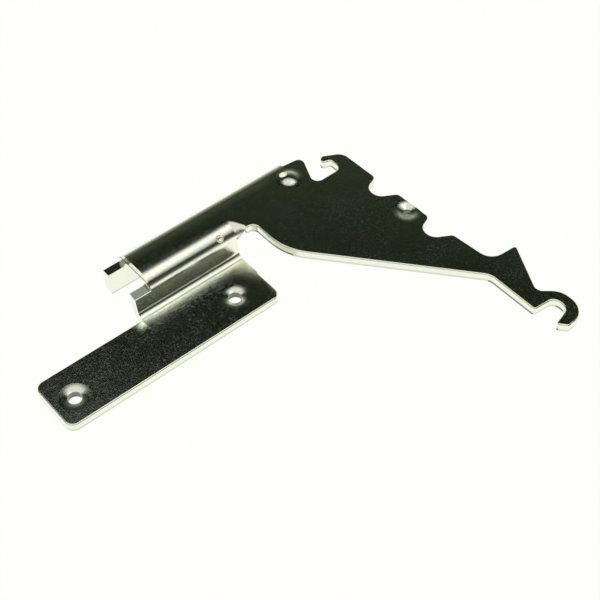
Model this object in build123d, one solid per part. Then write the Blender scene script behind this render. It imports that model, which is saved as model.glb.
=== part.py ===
from build123d import *
import os
from math import cos, radians, sin, tan

# Dishwasher door hinge: one steel sheet, stamped and folded. Millimetres, +Z up.
# +X runs along the screw plate, +Y from the plate towards the channel's back wall.
# The origin is midway between the two screw holes, on the plate's underside.

# Sheet
SHEET = 3.0            # thickness
BEND_R = 2.5           # inside radius of every bend
RIM_R = 0.5            # rolled-over top rim of the stamped outline

# Screw plate
HOLE_PITCH = 62.0
HOLE_D = 4.6
SCREW_DISH_R = 5.2     # pressed hollow round each screw hole
SCREW_DISH_DEPTH = 1.0
PLATE_LEFT = 7.5       # left hole to the left end
PLATE_RIGHT = 12.2     # right hole to the right end
PLATE_FRONT = 9.0      # line of holes to the front edge
PLATE_BACK = 11.4      # line of holes to the bend
PLATE_CORNER_R = 3.2
FOOT_L = 7.0           # plate curls up over this length before it bends into the front wall
FOOT_FLAT = 1.0        # flat strip in front of the curl
FOOT_CURL = 5          # degrees it has curled by there

# Channel
HEIGHT = 14.8          # plate's underside to the top of the web
CHANNEL_W = 18.0       # over both walls
FRONT_WALL_L = 41.0    # back from the plate's right end
FRONT_TURN = 82        # degrees of the front bend: the front wall leans back a little
BACK_WALL_L = 72.0     # from the same left end as the front wall
WEB_SETBACK = 6.3      # web and upper bends stop short of the walls' left end
WALL_CORNER_R = 1.0    # lower corners of the back wall
TAB_RISE = 1.5         # top of the front wall's free end slopes up this much towards the back
LIP_L = 3.4            # front bend opens out into the flat arm over this length
LIP_BENT = (0.98, 0.81, 0.50, 0.12)    # share of it still bent down, at even steps along that length
DART_INSET = 5.7       # small dart in the front bend, back from the wall's right end
DART_R = 1.4
DART_DEPTH = 1.0

# Arm outline
RELIEF_W = 3.0         # gap between the lip's end and the arm's left edge
ARM_W = 45.4           # left edge to the notched edge, at the first tooth
EDGE_LEAN = 0.025      # notched edge leans out this much for each mm towards the spring hook
ARM_ELBOW_Y = -3.0     # left edge turns into the slanting edge
ARM_ELBOW_R = 20.0
ARM_KNEE_Y = -53.5     # slanting edge turns into the neck
ARM_KNEE_R = 5.0
RELIEF_R = 2.5         # round end of that gap
RELIEF_DROP = 0.9      # its floor in front of the lip's end

# Pivot hook, which drops over a fixed pin
EAR_L = 8.4            # flat ear past the end of the back wall
EAR_FOOT = 1.4         # ear's back edge past the web's, beside the wall
EAR_STEP = 0.5         # and at the ear's corner
EAR_R = 2.3
PIVOT_FLOOR_Y = 14.0   # floor of the pivot notch
PIVOT_W = 12.0         # width of the notch at its floor
PIVOT_THICK = 6.1      # hook's shank, between notch and notched edge
PIVOT_FLOOR_R = 2.3
PIVOT_INNER_R = 1.2
PIVOT_UNDERCUT = 5.1   # floor to the underside of the hook's tip
PIVOT_TIP_L = 3.0      # tip stands this far over the notch
PIVOT_TIP_H = 3.4
PIVOT_TIP_R = 0.9
PIVOT_CROWN_R = 1.7
PIVOT_SHOULDER_Y = 19.2
PIVOT_SHOULDER_R = 4.5

# Two cam notches in the edge
NOTCH_Y = 3.0          # tooth tip of the first one
NOTCH_PITCH = 25.4
NOTCH_DEPTH = 5.9
NOTCH_DROP = 2.1       # upper flank falls this much from tip to root
NOTCH_ROOT = 5.2       # straight root between the two flanks
NOTCH_RISE = 3.6       # lower flank falls this much from root to hump
NOTCH_R = 3.9
NOTCH_TIP_R = 2.0
NOTCH_HUMP_R = 2.2

# Spur below the notches
SPUR_Y = -49.8
SPUR_REACH = 13.0      # past the notched edge
SPUR_RISE = 0.9        # throat above the tip
SPUR_THROAT = 2.3      # throat past the notched edge
SPUR_THROAT_R = 5.0
SPUR_TIP_R = 0.9

# Spring hook at the arm's end
HOOK_Y = -75.8         # middle of the hook's eye
HOOK_OUT = 9.5         # hook's outer side past the notched edge
HOOK_OUTER_R = 6.9
HOOK_SHOULDER = 3.4    # upper outer corner above the eye's middle
HOOK_EYE_R = 2.6
HOOK_EYE_W = 5.4
HOOK_BACK = 4.1        # metal between the eye and the outer side
HOOK_UNDER = 5.0       # metal below the eye
HOOK_JAW_X = -2.8      # upper jaw's corner past the notched edge
HOOK_JAW_RISE = 0.8
HOOK_LIP_L = 7.7       # lower jaw, from the eye's end wall
HOOK_LIP_DROP = 1.9
HOOK_LIP_CUT = 2.6     # slanting cut at the lower jaw's end
HOOK_NECK_X = 3.6      # neck's inner corner past the notched edge
HOOK_NECK_Y = 8.5      # neck's inner corner above the eye's middle
HOOK_NECK_R = 2.5
HOOK_TIP_R = 0.9

# Pressed bosses in the arm
BOSS_HOLE_D = 2.8
RAISED_BOSS_BACK = 2.0     # middle in from the back wall's right end
RAISED_BOSS_R = 4.9        # foot touches the back bend
RAISED_BOSS_RISE = 1.0
RAISED_HOLE_BACK = 2.3     # hole sits behind the crown
RAISED_HOLE_LEFT = 0.8     # and to its left
SUNK_BOSS_INSET = 3.4      # middle in from the notched edge
SUNK_BOSS_Y = -15.6
SUNK_BOSS_R = 5.4          # runs out over the notched edge
SUNK_BULGE_R = 3.2         # bulge below, which stays inside that edge
SUNK_BOSS_DEPTH = 1.15

BEND_OUT = BEND_R + SHEET
X_LEFT_HOLE = -HOLE_PITCH / 2
X_PLATE_LEFT = X_LEFT_HOLE - PLATE_LEFT
X_PLATE_RIGHT = HOLE_PITCH / 2 + PLATE_RIGHT
X_WALL = X_PLATE_RIGHT - FRONT_WALL_L
X_WEB = X_WALL + WEB_SETBACK
X_BACK_END = X_WALL + BACK_WALL_L
X_LIP_END = X_PLATE_RIGHT + LIP_L
X_ARM_LEFT = X_LIP_END + RELIEF_W
X_ARM_EDGE = X_ARM_LEFT + ARM_W
Y_FOOT = PLATE_BACK - FOOT_L - FOOT_FLAT
Y_FRONT_FACE = PLATE_BACK + BEND_R
Y_WEB_FRONT = Y_FRONT_FACE + BEND_OUT
Y_BACK_FACE = Y_FRONT_FACE + CHANNEL_W
Y_WEB_BACK = Y_BACK_FACE - BEND_OUT
Z_WALL_TOP = HEIGHT - BEND_OUT
Z_WEB_UNDER = HEIGHT - SHEET
LIP_W = (BEND_R + SHEET / 2) * radians(FRONT_TURN)


def along_x(face, start, end):
    """Extrudes a face drawn in the YZ plane from one X to another."""
    return extrude(Pos(start, 0, 0) * face, amount=end - start, dir=(1, 0, 0))


def block(start, end, front, back, low, high):
    size = (end - start, back - front, high - low)
    middle = ((start + end) / 2, (front + back) / 2, (low + high) / 2)
    return Pos(*middle) * Box(*size)


def bend_face(middle_y, from_angle, turn):
    """Bend under the web, cut across: angles in the YZ plane, counted from +Y towards +Z."""
    inner = CenterArc((middle_y, Z_WALL_TOP), BEND_R, from_angle, turn)
    outer = CenterArc((middle_y, Z_WALL_TOP), BEND_OUT, from_angle, turn)
    outline = inner + outer + Line(inner @ 0, outer @ 0) + Line(inner @ 1, outer @ 1)
    return Plane.YZ * make_face(outline)


def swell(radius, rise):
    """Solid of revolution under a smooth bump: crown arc and foot arc meet half way out."""
    crown = TangentArc((0, rise), (radius / 2, rise / 2), tangent=(1, 0))
    foot = TangentArc(crown @ 1, (radius, 0), tangent=crown % 1)
    outline = crown + foot + Polyline(foot @ 1, (0, 0), crown @ 0)
    return revolve(Plane.XZ * make_face(outline), Axis.Z)


def dish(radius, depth):
    return Rot(180, 0, 0) * swell(radius, depth)


def drill(x, y, diameter):
    return Pos(x, y, HEIGHT / 2) * Cylinder(diameter / 2, 2 * HEIGHT)


def rounded_prism(corners, low, high):
    """Prism from a closed outline of (x, y, corner radius)."""
    points = [(x, y) for x, y, _ in corners]
    outline = FilletPolyline(*points, radius=[r for _, _, r in corners], close=True)
    return extrude(Pos(0, 0, low) * make_face(outline), amount=high - low)


def soften_rim(solid, level, keep):
    """Rolls over the stamped top rim along the edges that keep() picks by their middle."""
    top = [e for e in solid.edges() if e.bounding_box().min.Z > level - RIM_R]
    return fillet([e for e in top if keep(e.center())], RIM_R)


def screw_plate():
    plate = rounded_prism(
        [
            (X_PLATE_LEFT, -PLATE_FRONT, PLATE_CORNER_R),
            (X_PLATE_RIGHT, -PLATE_FRONT, PLATE_CORNER_R),
            (X_PLATE_RIGHT, Y_FOOT, 0),
            (X_WALL, Y_FOOT, 0),
            (X_WALL, PLATE_BACK, 0),
            (X_PLATE_LEFT, PLATE_BACK, PLATE_CORNER_R),
        ],
        0,
        SHEET,
    )
    return soften_rim(plate, SHEET, lambda middle: middle.X < X_WALL - RIM_R or middle.Y < Y_FOOT - RIM_R)


def screw_holes(sheet):
    for x in (X_LEFT_HOLE, -X_LEFT_HOLE):
        sheet -= Pos(x, 0, SHEET) * dish(SCREW_DISH_R, SCREW_DISH_DEPTH)
        sheet -= drill(x, 0, HOLE_D)
    return sheet


def wall_point(gap, rise=0):
    """Point in YZ at the top of the front wall, so far in from its face and so far up its slope."""
    lean = radians(90 - FRONT_TURN)
    y = Y_WEB_FRONT - (BEND_OUT - gap) * cos(lean) + rise * sin(lean)
    z = Z_WALL_TOP + (BEND_OUT - gap) * sin(lean) + rise * cos(lean)
    return y, z


def foot_face():
    """Plate's back edge curling up, its bend and the front wall, cut across."""
    turn = radians(FOOT_CURL)
    lean = radians(90 - FRONT_TURN)
    radius = FOOT_L / turn
    bend_z = SHEET + radius - (radius - BEND_R) * cos(turn)
    face_y, face_z = wall_point(0)
    bend_y = face_y - BEND_R * cos(lean) - (face_z - bend_z + BEND_R * sin(lean)) * tan(lean)
    start = bend_y - (radius - BEND_R) * sin(turn)
    outline = []
    for gap in (0, SHEET):
        curl_arc = CenterArc((start, SHEET + radius), radius + gap, -90, FOOT_CURL)
        bend_arc = CenterArc((bend_y, bend_z), BEND_R + gap, FOOT_CURL - 90, FRONT_TURN - FOOT_CURL)
        outline += [Line((Y_FOOT, SHEET - gap), curl_arc @ 0), curl_arc, bend_arc]
        outline += [Line(bend_arc @ 1, wall_point(gap))]
    outline += [Line((Y_FOOT, 0), (Y_FOOT, SHEET)), Line(wall_point(0), wall_point(SHEET))]
    return Plane.YZ * make_face(outline)


def walls():
    """Both walls and the three bends that join them to the plate and the web."""
    tab_top = Polyline(wall_point(0), wall_point(SHEET), wall_point(SHEET, TAB_RISE), close=True)
    front = along_x(foot_face(), X_WALL, X_PLATE_RIGHT)
    front += along_x(Plane.YZ * make_face(tab_top), X_WALL, X_WEB)
    front += along_x(bend_face(Y_WEB_FRONT, 90, FRONT_TURN), X_WEB, X_PLATE_RIGHT)
    back = block(X_WALL, X_BACK_END, Y_BACK_FACE - SHEET, Y_BACK_FACE, 0, Z_WALL_TOP)
    lower = back.edges().filter_by(Axis.Y).group_by(Axis.Z)[0]
    back = fillet(lower, WALL_CORNER_R)
    back += along_x(bend_face(Y_WEB_BACK, 0, 90), X_WEB, X_BACK_END)
    return front, back


def lip_section(x, bent):
    """Strip of sheet that leaves the web flat, with a share of its width bent down at its free end."""
    flat_end = Y_WEB_FRONT - (1 - bent) * LIP_W
    outline = []
    for radius in (BEND_OUT, BEND_R):
        arc = CenterArc((flat_end, Z_WALL_TOP), radius, 90, bent * FRONT_TURN)
        outline += [Line((Y_WEB_FRONT, Z_WALL_TOP + radius), arc @ 0), arc]
    ends = [line @ 0 for line in outline[0::2]], [arc @ 1 for arc in outline[1::2]]
    outline += [Line(*pair) for pair in ends]
    return Pos(x, 0, 0) * (Plane.YZ * make_face(outline))


def lip():
    """The front bend running out into the flat arm, past the end of the front wall."""
    step = LIP_L / (len(LIP_BENT) - 1)
    return loft([lip_section(X_PLATE_RIGHT + i * step, bent) for i, bent in enumerate(LIP_BENT)])


def pivot_hook():
    shank = X_ARM_EDGE - PIVOT_THICK
    tip_y = PIVOT_FLOOR_Y + PIVOT_UNDERCUT
    return [
        (X_BACK_END, Y_WEB_BACK, 0),
        (X_BACK_END, Y_WEB_BACK + EAR_FOOT, 0),
        (X_BACK_END + EAR_L, Y_WEB_BACK + EAR_STEP, EAR_R),
        (shank - PIVOT_W, PIVOT_FLOOR_Y, PIVOT_FLOOR_R),
        (shank, PIVOT_FLOOR_Y, PIVOT_FLOOR_R),
        (shank, tip_y, PIVOT_INNER_R),
        (shank - PIVOT_TIP_L, tip_y + PIVOT_TIP_R, PIVOT_TIP_R),
        (shank - PIVOT_TIP_L + PIVOT_TIP_R, tip_y + PIVOT_TIP_R + PIVOT_TIP_H, PIVOT_CROWN_R),
        (edge_at(PIVOT_SHOULDER_Y), PIVOT_SHOULDER_Y, PIVOT_SHOULDER_R),
    ]


def edge_at(y):
    return X_ARM_EDGE + EDGE_LEAN * (NOTCH_Y - y)


def cam_notch(tip_y):
    root = edge_at(tip_y) - NOTCH_DEPTH
    root_top = tip_y - NOTCH_DROP
    root_low = root_top - NOTCH_ROOT
    hump_y = root_low - NOTCH_RISE
    return [
        (edge_at(tip_y), tip_y, NOTCH_TIP_R),
        (root, root_top, NOTCH_R),
        (root, root_low, NOTCH_R),
        (edge_at(hump_y), hump_y, NOTCH_HUMP_R),
    ]


def spur():
    return [
        (X_ARM_EDGE + SPUR_THROAT, SPUR_Y + SPUR_RISE, SPUR_THROAT_R),
        (X_ARM_EDGE + SPUR_REACH, SPUR_Y, SPUR_TIP_R),
    ]


def spring_hook():
    outer = X_ARM_EDGE + HOOK_OUT
    eye = outer - HOOK_BACK
    eye_top = HOOK_Y + HOOK_EYE_W / 2
    eye_low = HOOK_Y - HOOK_EYE_W / 2
    lip_x = eye - HOOK_LIP_L
    return [
        (X_ARM_EDGE + HOOK_NECK_X, HOOK_Y + HOOK_NECK_Y, HOOK_NECK_R),
        (outer, HOOK_Y + HOOK_SHOULDER, HOOK_OUTER_R),
        (outer, eye_low - HOOK_UNDER, HOOK_OUTER_R),
        (lip_x + HOOK_LIP_CUT, eye_low - HOOK_UNDER, HOOK_TIP_R),
        (lip_x, eye_low - HOOK_LIP_DROP, HOOK_TIP_R),
        (eye, eye_low, HOOK_EYE_R),
        (eye, eye_top, HOOK_EYE_R),
        (X_ARM_EDGE + HOOK_JAW_X, eye_top + HOOK_JAW_RISE, HOOK_TIP_R),
    ]


def arm():
    """Web and arm, one flat sheet. The outline runs clockwise from the web's left end."""
    relief_y = Y_WEB_FRONT - LIP_W - RELIEF_DROP
    outline = [
        (X_WEB, Y_WEB_FRONT, 0),
        (X_WEB, Y_WEB_BACK, 0),
        *pivot_hook(),
        *cam_notch(NOTCH_Y),
        *cam_notch(NOTCH_Y - NOTCH_PITCH),
        *spur(),
        *spring_hook(),
        (X_ARM_EDGE + HOOK_JAW_X, ARM_KNEE_Y, ARM_KNEE_R),
        (X_ARM_LEFT, ARM_ELBOW_Y, ARM_ELBOW_R),
        (X_ARM_LEFT, relief_y, RELIEF_R),
        (X_LIP_END, relief_y, 0),
        (X_LIP_END, Y_WEB_FRONT, 0),
    ]

    def clear_of_bends(middle):
        beside_lip = middle.X > X_LIP_END + RIM_R and middle.Y < Y_WEB_FRONT - RIM_R
        return beside_lip or middle.X > X_BACK_END + RIM_R

    return soften_rim(rounded_prism(outline, Z_WEB_UNDER, HEIGHT), HEIGHT, clear_of_bends)


def bosses(sheet):
    """Presses one boss up and one down in the arm, each with a small hole through it."""
    raised_x = X_BACK_END - RAISED_BOSS_BACK
    raised_y = Y_WEB_BACK - RAISED_BOSS_R
    sunk_x = edge_at(SUNK_BOSS_Y) - SUNK_BOSS_INSET
    sheet += Pos(raised_x, raised_y, HEIGHT) * swell(RAISED_BOSS_R, RAISED_BOSS_RISE)
    sheet -= Pos(raised_x, raised_y, Z_WEB_UNDER) * swell(RAISED_BOSS_R, RAISED_BOSS_RISE)
    sheet += Pos(sunk_x, SUNK_BOSS_Y, Z_WEB_UNDER) * dish(SUNK_BULGE_R, SUNK_BOSS_DEPTH)
    sheet -= Pos(sunk_x, SUNK_BOSS_Y, HEIGHT) * dish(SUNK_BOSS_R, SUNK_BOSS_DEPTH)
    sheet -= drill(raised_x - RAISED_HOLE_LEFT, raised_y + RAISED_HOLE_BACK, BOSS_HOLE_D)
    return sheet - drill(sunk_x, SUNK_BOSS_Y, BOSS_HOLE_D)


def dart(sheet):
    """Small stiffening dart pressed into the front bend."""
    halfway = radians(45)
    reach = BEND_OUT + DART_R - DART_DEPTH
    y = Y_WEB_FRONT - reach * sin(halfway)
    z = Z_WALL_TOP + reach * cos(halfway)
    return sheet - Pos(X_PLATE_RIGHT - DART_INSET, y, z) * Sphere(DART_R)


front, back = walls()
hinge = dart(screw_holes(screw_plate() + front) + back + bosses(arm()) + lip())

os.makedirs("parts", exist_ok=True)
export_step(hinge, "parts/hinge_arm.step")
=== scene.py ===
import math

import bpy
from mathutils import Matrix, Vector

# Dishwasher door hinge: one bright zinc-plated sheet, lying on a white table. Metres, +Z up.

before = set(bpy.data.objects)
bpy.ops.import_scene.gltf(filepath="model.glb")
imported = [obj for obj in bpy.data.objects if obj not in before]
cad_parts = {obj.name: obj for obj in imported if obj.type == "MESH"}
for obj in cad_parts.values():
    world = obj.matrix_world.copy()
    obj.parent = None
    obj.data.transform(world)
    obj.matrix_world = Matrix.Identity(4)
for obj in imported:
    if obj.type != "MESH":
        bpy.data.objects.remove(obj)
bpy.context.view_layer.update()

# Camera: the photograph's viewing angle
AIM = Vector((0.04774, -0.01280, 0.0))
HEADING = math.radians(40.75)       # from +Y towards +X
ELEVATION = math.radians(49.24)
ROLL = math.radians(0.314)
DISTANCE = 0.3975
LENS_MM = 73.0
SENSOR_MM = 36.0

# Light: one long soft box above, a pale ceiling behind the camera, a dim room and a white table
BOX_ENDS = ((18.0, 67.0), (-60.0, 33.0))    # azimuth from +X towards +Y, and elevation, in degrees
BOX_DISTANCE = 1.6
BOX_NARROW = 0.66                   # its width for its length
BOX_RADIANCE = 0.45
CEILING = (-150.0, 68.0)
CEILING_STOPS = (                   # cosine of the angle from its middle, brightness
    (0.60, 0.0),
    (0.66, 0.19),
    (0.75, 0.78),
)
ROOM_STOPS = (                      # sine of the elevation, colour
    (0.00, (0.50, 0.52, 0.45, 1.0)),
    (0.45, (0.10, 0.11, 0.085, 1.0)),
    (0.62, (0.038, 0.046, 0.030, 1.0)),
    (0.72, (0.012, 0.016, 0.008, 1.0)),
    (0.78, (0.002, 0.004, 0.001, 1.0)),
)
ROOM_FRONT = 0.25                   # brightness in front of the hinge, for that behind it
ROOM_TURN = (0.4, 0.6)              # where it changes, from 0 in front to 1 behind
FLOOR_SIZE = 30.0
FLOOR_DROP = 0.00005
FLOOR_COLOUR = (0.86, 0.865, 0.84, 1.0)
FLOOR_TINT = (1.0, 1.0, 0.975, 1.0)     # of its plain white
FLOOR_WHITE = 0.985                 # share of the table that shows as plain white

# Zinc plate
ZINC_WARM = (0.92, 0.925, 0.77, 1.0)
ZINC_COOL = (0.87, 0.915, 0.80, 1.0)
CLOUD_PER_M = 110.0                 # patches of warmer and cooler plating
CLOUD_EDGES = (0.35, 0.65)
SPECK_PER_M = 1500.0                # fine mottle
SPECK_SHARE = 0.8                   # of the mottle, the rest follows the patches
ROUGHNESS_STOPS = ((0.40, 0.09), (0.56, 0.14), (0.70, 0.23))    # mottle, roughness
WAVE_PER_M = 90.0                   # slight waviness of the rolled sheet
WAVE_DEPTH = 0.00006
PEEL_PER_M = 1200.0                 # orange peel, about 0.8 mm
PEEL_DEPTH = 0.000014
GRAIN_PER_M = 4500.0                # fine matt grain of the plating
GRAIN_DEPTH = 0.000026

# The web bows down a little on both sides, towards its two bends
WEB_MIDDLE = 0.0229
BOW_FLAT = 0.0005                   # from the middle to where it starts
BOW_RUN = 0.003
BOW_TILT = math.radians(5)
BOW_FADES = ((1, 0.062, 0.074), (-1, 0.036, 0.046))     # side, and where along it the bow fades out

# Cut edges: the lower part of the sheet's thickness broke instead of shearing, and gets painted shade
UPRIGHT = 0.2                       # a face stands upright if its direction rises less than this
LEVEL = 0.5                         # and lies level if it rises more than this
LEFT = -0.9                         # sideways part of the direction of an end that faces left
SHEET = 0.003
ARM_TOP = 0.0148
SHADE_BAND_HEIGHT = 0.0008
EDGE_SHADE_TINT = 0.78
END_SHADE_TINT = 0.35                     # painted shade on the arm's cut ends that face left
TAB_END = 0.00845                   # the front wall's tab is left of this, its cut top above TAB_LOW
TAB_LOW = 0.0100
TAB_SHADE_SPAN = (0.0142, 0.0168)        # band across that top that gets painted shade
TAB_SHADE_TINT = 0.30
# Hole walls get painted shade
SHADED_HOLES = ((-0.031, 0.0), (0.031, 0.0), (0.09207, -0.0156))
HOLE_REACH = 0.0026                 # from a hole's axis past its wall
HOLE_SHADE_TINT = 0.22


def link(tree, start, end):
    tree.links.new(start, end)


def node(tree, kind, **settings):
    made = tree.nodes.new(kind)
    for key, value in settings.items():
        setattr(made, key, value)
    return made


def ramp(tree, source, stops):
    """Colour ramp from (place, colour) stops."""
    made = node(tree, "ShaderNodeValToRGB")
    band = made.color_ramp.elements
    while len(band) < len(stops):
        band.new(0.5)
    for element, (place, colour) in zip(band, stops):
        element.position = place
        element.color = colour
    link(tree, source, made.inputs["Fac"])
    return made.outputs["Color"]


def grey(value):
    return (value, value, value, 1.0)


def greys(stops):
    """Ramp stops from (place, brightness) pairs."""
    return [(place, grey(level)) for place, level in stops]


def maths(tree, operation, first, second):
    """One maths node; each input is a socket or a number."""
    made = node(tree, "ShaderNodeMath", operation=operation)
    for socket, value in zip(made.inputs, (first, second)):
        if isinstance(value, (int, float)):
            socket.default_value = value
        else:
            link(tree, value, socket)
    return made.outputs[0]


def noise(tree, place, scale, detail=3.0, rough=0.5):
    made = node(tree, "ShaderNodeTexNoise")
    made.inputs["Scale"].default_value = scale
    made.inputs["Detail"].default_value = detail
    made.inputs["Roughness"].default_value = rough
    link(tree, place, made.inputs["Vector"])
    return made.outputs["Fac"]


def bump(tree, height, depth, below=None):
    made = node(tree, "ShaderNodeBump")
    made.inputs["Strength"].default_value = 1.0
    made.inputs["Distance"].default_value = depth
    link(tree, height, made.inputs["Height"])
    if below is not None:
        link(tree, below, made.inputs["Normal"])
    return made.outputs["Normal"]


def tinted(tree, colour, tint):
    made = node(tree, "ShaderNodeMix", data_type="RGBA", blend_type="MULTIPLY")
    made.inputs["Factor"].default_value = 1.0
    link(tree, colour, made.inputs["A"])
    link(tree, tint, made.inputs["B"])
    return made.outputs["Result"]


def split(tree, vector):
    """X, Y and Z of a vector."""
    parts = node(tree, "ShaderNodeSeparateXYZ")
    link(tree, vector, parts.inputs[0])
    return parts.outputs


def within(tree, value, low, high):
    """1 where a value lies between two limits."""
    made = maths(tree, "COMPARE", value, (low + high) / 2)
    made.node.inputs[2].default_value = (high - low) / 2
    return made


def facing(tree):
    """X, Y and Z of the surface's direction."""
    return split(tree, node(tree, "ShaderNodeNewGeometry").outputs["True Normal"])


def upright(tree):
    """1 on faces that stand upright, 0 elsewhere."""
    return maths(tree, "LESS_THAN", maths(tree, "ABSOLUTE", facing(tree)["Z"], 0.0), UPRIGHT)


def edge_shade_band(tree, place, low):
    """1 in the lower part of a sheet's thickness, from a given height, where painted shade goes."""
    return within(tree, split(tree, place)["Z"], low, low + SHADE_BAND_HEIGHT)


def left_end(tree, place):
    """1 in the lower part of the arm's ends that face left, which gets painted shade."""
    left = maths(tree, "LESS_THAN", facing(tree)["X"], LEFT)
    return maths(tree, "MULTIPLY", left, edge_shade_band(tree, place, ARM_TOP - SHEET))


def tab_top(tree, place):
    """1 in a band across the front tab's cut top, which gets painted shade."""
    parts = split(tree, place)
    share = within(tree, parts["Y"], *TAB_SHADE_SPAN)
    share = maths(tree, "MULTIPLY", share, maths(tree, "LESS_THAN", parts["X"], TAB_END))
    share = maths(tree, "MULTIPLY", share, maths(tree, "GREATER_THAN", parts["Z"], TAB_LOW))
    return maths(tree, "MULTIPLY", share, maths(tree, "GREATER_THAN", facing(tree)["Z"], LEVEL))


def in_holes(tree, place):
    """1 near the axis of any hole whose wall gets painted shade."""
    flat = node(tree, "ShaderNodeVectorMath", operation="MULTIPLY")
    link(tree, place, flat.inputs[0])
    flat.inputs[1].default_value = (1, 1, 0)
    near = 0.0
    for x, y in SHADED_HOLES:
        gap = node(tree, "ShaderNodeVectorMath", operation="DISTANCE")
        link(tree, flat.outputs["Vector"], gap.inputs[0])
        gap.inputs[1].default_value = (x, y, 0)
        near = maths(tree, "MAXIMUM", near, maths(tree, "LESS_THAN", gap.outputs["Value"], HOLE_REACH))
    return near


def web_bow(tree, place):
    """Height of the bowed web, in metres."""
    parts = split(tree, place)
    aside = maths(tree, "SUBTRACT", parts["Y"], WEB_MIDDLE)
    height = 0.0
    for side, fade_from, fade_to in BOW_FADES:
        run = maths(tree, "SUBTRACT", maths(tree, "MULTIPLY", aside, side), BOW_FLAT)
        run = maths(tree, "MINIMUM", maths(tree, "MAXIMUM", run, 0.0), BOW_RUN)
        drop = maths(tree, "MULTIPLY", maths(tree, "MULTIPLY", run, run), BOW_TILT / (2 * BOW_RUN))
        share = node(tree, "ShaderNodeMapRange", interpolation_type="SMOOTHSTEP")
        link(tree, parts["X"], share.inputs["Value"])
        share.inputs["From Min"].default_value = fade_from
        share.inputs["From Max"].default_value = fade_to
        share.inputs["To Min"].default_value = 1.0
        share.inputs["To Max"].default_value = 0.0
        height = maths(tree, "SUBTRACT", height, maths(tree, "MULTIPLY", drop, share.outputs["Result"]))
    return height


def zinc_material():
    material = bpy.data.materials.new("zinc_steel")
    material.use_nodes = True
    tree = material.node_tree
    shader = tree.nodes["Principled BSDF"]
    place = node(tree, "ShaderNodeTexCoord").outputs["Object"]

    cloud = noise(tree, place, CLOUD_PER_M)
    speck = noise(tree, place, SPECK_PER_M, detail=1.0)
    colour = ramp(tree, cloud, list(zip(CLOUD_EDGES, (ZINC_WARM, ZINC_COOL))))
    cut = upright(tree)
    # Painted shade: cut-edge bands, left-facing ends, the tab's top and hole walls
    painted_shades = (
        (maths(tree, "MULTIPLY", cut, edge_shade_band(tree, place, 0.0)), EDGE_SHADE_TINT),
        (maths(tree, "MULTIPLY", cut, edge_shade_band(tree, place, ARM_TOP - SHEET)), EDGE_SHADE_TINT),
        (maths(tree, "MULTIPLY", cut, left_end(tree, place)), END_SHADE_TINT),
        (maths(tree, "MULTIPLY", cut, in_holes(tree, place)), HOLE_SHADE_TINT),
        (tab_top(tree, place), TAB_SHADE_TINT),
    )
    for share, tint in painted_shades:
        colour = tinted(tree, colour, ramp(tree, share, greys(((0.0, 1.0), (1.0, tint)))))
    link(tree, colour, shader.inputs["Base Color"])

    mottle = maths(
        tree,
        "ADD",
        maths(tree, "MULTIPLY", speck, SPECK_SHARE),
        maths(tree, "MULTIPLY", cloud, 1 - SPECK_SHARE),
    )
    dull = ramp(tree, mottle, greys(ROUGHNESS_STOPS))
    link(tree, dull, shader.inputs["Roughness"])
    shader.inputs["Metallic"].default_value = 1.0

    bow = bump(tree, web_bow(tree, place), 1.0)
    wave = bump(tree, noise(tree, place, WAVE_PER_M, detail=1.0), WAVE_DEPTH, bow)
    peel = bump(tree, noise(tree, place, PEEL_PER_M), PEEL_DEPTH, wave)
    grain = bump(tree, noise(tree, place, GRAIN_PER_M, detail=2.0), GRAIN_DEPTH, peel)
    link(tree, grain, shader.inputs["Normal"])
    return material


def floor_material():
    """White table: what the camera and mirrors see is mostly plain white, the rest takes the shadow."""
    material = bpy.data.materials.new("table")
    material.use_nodes = True
    tree = material.node_tree
    tree.nodes.remove(tree.nodes["Principled BSDF"])
    lit = node(tree, "ShaderNodeBsdfDiffuse")
    lit.inputs["Color"].default_value = FLOOR_COLOUR
    white = node(tree, "ShaderNodeEmission")
    white.inputs["Color"].default_value = FLOOR_TINT
    path = node(tree, "ShaderNodeLightPath").outputs
    mirrored = maths(tree, "MAXIMUM", path["Is Glossy Ray"], path["Is Transmission Ray"])
    seen = maths(tree, "MAXIMUM", path["Is Camera Ray"], mirrored)
    mixed = node(tree, "ShaderNodeMixShader")
    link(tree, maths(tree, "MULTIPLY", seen, FLOOR_WHITE), mixed.inputs["Fac"])
    link(tree, lit.outputs[0], mixed.inputs[1])
    link(tree, white.outputs[0], mixed.inputs[2])
    link(tree, mixed.outputs[0], tree.nodes["Material Output"].inputs["Surface"])
    return material


def make_floor():
    half = FLOOR_SIZE / 2
    corners = [(-half, -half, 0), (half, -half, 0), (half, half, 0), (-half, half, 0)]
    mesh = bpy.data.meshes.new("table")
    mesh.from_pydata(corners, [], [(0, 1, 2, 3)])
    floor = bpy.data.objects.new("table", mesh)
    floor.location.z = -FLOOR_DROP
    mesh.materials.append(floor_material())
    bpy.context.scene.collection.objects.link(floor)


def towards(azimuth, elevation):
    turn = math.radians(azimuth)
    rise = math.radians(elevation)
    return Vector((math.cos(rise) * math.cos(turn), math.cos(rise) * math.sin(turn), math.sin(rise)))


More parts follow.
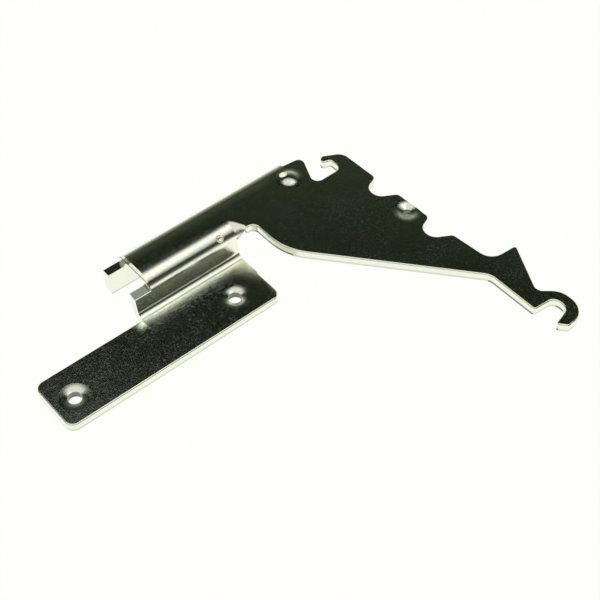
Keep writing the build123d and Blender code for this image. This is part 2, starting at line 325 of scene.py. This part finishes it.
def make_room():
    """Dim room, paler towards the horizon, under a pale ceiling."""
    world = bpy.data.worlds.new("room")
    world.use_nodes = True
    tree = world.node_tree
    direction = node(tree, "ShaderNodeTexCoord").outputs["Generated"]
    parts = split(tree, direction)
    room = ramp(tree, parts["Z"], ROOM_STOPS)
    behind = maths(tree, "ADD", maths(tree, "MULTIPLY", parts["Y"], 0.5), 0.5)
    room = tinted(tree, room, ramp(tree, behind, greys(zip(ROOM_TURN, (ROOM_FRONT, 1.0)))))
    nearness = node(tree, "ShaderNodeVectorMath", operation="DOT_PRODUCT")
    link(tree, direction, nearness.inputs[0])
    nearness.inputs[1].default_value = towards(*CEILING)
    ceiling = ramp(tree, nearness.outputs["Value"], greys(CEILING_STOPS))
    both = node(tree, "ShaderNodeMix", data_type="RGBA", blend_type="ADD")
    both.inputs["Factor"].default_value = 1.0
    link(tree, room, both.inputs["A"])
    link(tree, ceiling, both.inputs["B"])
    link(tree, both.outputs["Result"], tree.nodes["Background"].inputs["Color"])
    bpy.context.scene.world = world


def make_soft_box():
    near, far = (towards(*end) for end in BOX_ENDS)
    middle = (near + far).normalized()
    along = (near - far).normalized()
    length = 2 * BOX_DISTANCE * math.tan(near.angle(far) / 2)
    data = bpy.data.lights.new("soft_box", "AREA")
    data.shape = "ELLIPSE"
    data.size = length
    data.size_y = length * BOX_NARROW
    data.energy = BOX_RADIANCE * math.pi * math.pi * data.size * data.size_y / 4
    lamp = bpy.data.objects.new("soft_box", data)
    turn = Matrix((along, middle.cross(along), middle)).transposed()
    lamp.matrix_world = Matrix.Translation(AIM + BOX_DISTANCE * middle) @ turn.to_4x4()
    bpy.context.scene.collection.objects.link(lamp)


def make_camera():
    data = bpy.data.cameras.new("camera")
    data.lens = LENS_MM
    data.sensor_width = SENSOR_MM
    camera = bpy.data.objects.new("camera", data)
    ahead = Vector((
        math.cos(ELEVATION) * math.sin(HEADING),
        math.cos(ELEVATION) * math.cos(HEADING),
        -math.sin(ELEVATION),
    ))
    right = ahead.cross(Vector((0, 0, 1))).normalized()
    up = right.cross(ahead)
    turn = Matrix((right, up, -ahead)).transposed() @ Matrix.Rotation(ROLL, 3, "Z")
    camera.matrix_world = Matrix.Translation(AIM - DISTANCE * ahead) @ turn.to_4x4()
    bpy.context.scene.collection.objects.link(camera)
    bpy.context.scene.camera = camera


def dress(hinge):
    hinge.data.materials.clear()
    hinge.data.materials.append(zinc_material())


bpy.context.scene.view_settings.view_transform = "Standard"
dress(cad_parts["hinge_arm"])
make_floor()
make_room()
make_soft_box()
make_camera()
